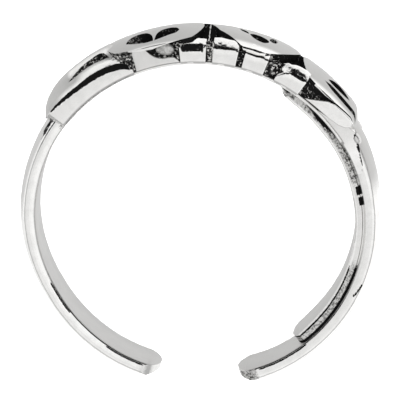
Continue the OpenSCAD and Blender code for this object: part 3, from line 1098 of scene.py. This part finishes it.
def makeInnerPlate():
    size = innerPlate
    middle = (size["top"] + size["bottom"]) / 2
    radius = boreRadius - size["thick"] / 2
    reach = along(size["bottom"], middle, radius)
    side, low, seam, rounding = size["half"], -size["thick"], size["seam"], size["round"]
    section = [
        (low, rounding - side), (low + 0.03, 0.03 - side), (low + rounding, -side),
        (-seam, -side), (-seam * 0.6, seam - side), (0.05, seam - side),
    ]
    section += [(y, -z) for y, z in section[::-1]]
    body = strip("inner_plate", section, -reach, reach)
    ends = bluntEnd(reach, side, size["endBlunt"]) + bluntEnd(-reach, side, size["endBlunt"], -1)
    carve(body, plate("plateOutline", ends), "INTERSECT")
    soften(body, size["edgeSoft"], 2, 40)
    cutAcross(body, size["cut"])
    cutAcross(body, size["fineCut"], 1)

    def roughAt(x, y, z):
        # granular side, smooth in its middle stretch
        angle = angleAt(x, middle, radius)
        amount = max(0.95 * ramp(angle, 12, 16), 0.85 * (1 - ramp(angle, -20, -13)))
        return amount * ramp(y, low + 0.14, low + 0.18)

    def sootAt(x, y, z):
        angle = angleAt(x, middle, radius)
        if angle > 13:
            start = follow(size["black"], angle)
            specks = 0.33 * ramp(y, low + 0.14, low + 0.18) * (1 - ramp(angle, 20, 50))
            return max(ramp(y, start - 0.02, start + 0.02), specks)
        first, second = size["firstFrom"], size["secondFrom"]
        first = within(angle, *size["firstDash"]) * ramp(y, first, first + 0.04)
        second = within(angle, *size["secondDash"]) * ramp(y, second, second + 0.04)
        lines = max(within(y, low + 0.08, low + 0.1, low + 0.14, low + 0.18), ramp(y, -0.16, -0.12))
        return max(1.2 * first, 1.2 * second, lines * (1 - ramp(angle, -20, -14)))

    def satinAt(x, y, z):
        return max(1 - ramp(y, low + 0.005, low + 0.03), 0.3 * ramp(y, low + 0.15, low + 0.19))

    paint(body, satin=satinAt, rough=roughAt, soot=sootAt)
    for point in points(body):
        angle = angleAt(point.x, middle, radius)
        thinner = 1 - follow(size["thickness"], angle) / size["thick"]
        point.y *= 1 - thinner * ramp(-point.y, 0, size["thick"])
        point.z *= follow(size["reach"], angle)
    finishPiece(body, middle, radius)


studio = {
    "tent": 0.86, "clouds": 0.12, "below": 0.16, "sideways": 0.16,
    "floor": 0.82, "floorRadius": 0.45,
    # the cloth's radius in metres, its edges in degrees seen from the ring, and its greys
    "bandRadius": 0.46, "bandLow": 3.0, "bandHigh": 30.0, "bandGrey": 0.52, "bandBlack": 0.005,
    "bandEdge": (0.05, 0.28),
    "lampPower": 2.2, "lampSize": 0.25, "lampHeight": 0.35, "lampReach": 0.3,
}


def grey(shade):
    return (shade, shade, shade, 1)


def makeFloor():
    bpy.ops.mesh.primitive_circle_add(vertices=96, radius=studio["floorRadius"], fill_type="NGON")
    floor = bpy.context.object
    floor.name = "floor"
    bench = Bench(bpy.data.materials.new("pale_table"))
    floor.data.materials.append(bench.finish(
        Base_Color=grey(studio["floor"]), Roughness=0.9, Specular_IOR_Level=0.0))
    floor.visible_glossy = False


def makeCloth():
    # a dark cloth behind the front of the ring, glowing grey round the rest, seen only in the
    # silver
    radius = studio["bandRadius"]
    low, high = (radius * tan(radians(studio[edge])) for edge in ("bandLow", "bandHigh"))
    bpy.ops.mesh.primitive_cylinder_add(
        vertices=96, radius=radius, depth=high - low, end_fill_type="NOTHING",
        location=(0, 0, (low + high) / 2),
    )
    band = bpy.context.object
    band.name = "cloth_band"
    bench = Bench(bpy.data.materials.new("cloth"))
    place = bench.node("TexCoord", output=3)
    across = bench.node("SeparateXYZ", {"Vector": place}, output=1)
    dark = (across * (1 / radius)).step(*studio["bandEdge"])
    band.data.materials.append(bench.finish(
        Base_Color=grey(0), Roughness=1.0, Specular_IOR_Level=0.0, Emission_Strength=1.0,
        Emission_Color=bench.mix(dark, grey(studio["bandGrey"]), grey(studio["bandBlack"]))))
    band.visible_camera = False
    band.visible_shadow = False
    band.visible_diffuse = False


def makeTent():
    world = bpy.data.worlds.new("tent")
    bpy.context.scene.world = world
    bench = Bench(world)
    look = bench.node("TexCoord")
    height = bench.node("SeparateXYZ", {"Vector": look}, output=2)
    sideways = bench.node("SeparateXYZ", {"Vector": look})
    below = 1 - height.step(-0.15, 0.02)
    clouds = bench.noise(look, 2.5, 1.0).step(0.3, 0.7)
    bench.finish(
        "Background", Color=grey(1),
        Strength=studio["tent"] + studio["clouds"] * (clouds - 0.5) + studio["below"] * below
        + studio["sideways"] * (sideways.step(-0.5, 0.5) - 0.5),
    )


def makeLamps():
    # four soft lamps all round keep the table white, and aren't seen in the silver
    reach = studio["lampReach"]
    for turn in range(4):
        lamp = bpy.data.lights.new("lamp", "AREA")
        lamp.energy = studio["lampPower"]
        lamp.size = studio["lampSize"]
        holder = bpy.data.objects.new("lamp", lamp)
        angle = radians(45 + 90 * turn)
        holder.location = (reach * cos(angle), reach * sin(angle), studio["lampHeight"])
        holder.rotation_euler = Vector(holder.location).to_track_quat("Z", "Y").to_euler()
        holder.visible_glossy = False
        link(holder)


# angles in degrees, distance in millimetres, centre in pixels of the photo
view = {
    "elevation": 17.0, "yaw": 4.5, "roll": 1.6, "distance": 130.0, "pixelsPerMm": 21.83,
    "centreX": 200.7, "centreY": 215.2, "pixels": 400, "sensor": 36.0,
}


def makeCamera():
    lift, yaw, roll = (radians(view[key]) for key in ("elevation", "yaw", "roll"))
    back = Vector((sin(yaw) * cos(lift), sin(lift), cos(yaw) * cos(lift)))
    right = Vector((cos(yaw), 0, -sin(yaw)))
    up = back.cross(right)
    right, up = right * cos(roll) - up * sin(roll), right * sin(roll) + up * cos(roll)
    half = view["pixels"] / 2
    aim = up * (view["centreY"] - half) - right * (view["centreX"] - half)
    turn = layDown.to_3x3().normalized()
    place = Matrix.Identity(4)
    for column, direction in enumerate((right, up, back)):
        place.col[column].xyz = turn @ direction
    place.translation = layDown @ (aim / view["pixelsPerMm"] + back * view["distance"])
    data = bpy.data.cameras.new("camera")
    data.sensor_width = view["sensor"]
    data.lens = view["distance"] * view["pixelsPerMm"] * view["sensor"] / view["pixels"]
    data.clip_start, data.clip_end = 0.005, 5
    camera = bpy.data.objects.new("camera", data)
    link(camera)
    camera.matrix_world = place
    bpy.context.scene.camera = camera


makeHoop()
print("hoop made")
makeGround()
makeLip()
makeCrumbs()
print("ground, lip and crumbs made")
makeBars()
makePanel()
makeLeaves()
print("leaves, bars and panel made")
makeHollows()
makeRidge()
makeGrains()
makeWebs()
makeShoulders()
makeKnobs()
makeBellies()
makeInnerPlate()
print("ridge, grains, webs, drops and inner plate made")
makeFloor()
makeCloth()
makeTent()
makeLamps()
makeCamera()
bpy.context.scene.view_settings.view_transform = "Standard"
print("studio and camera made")
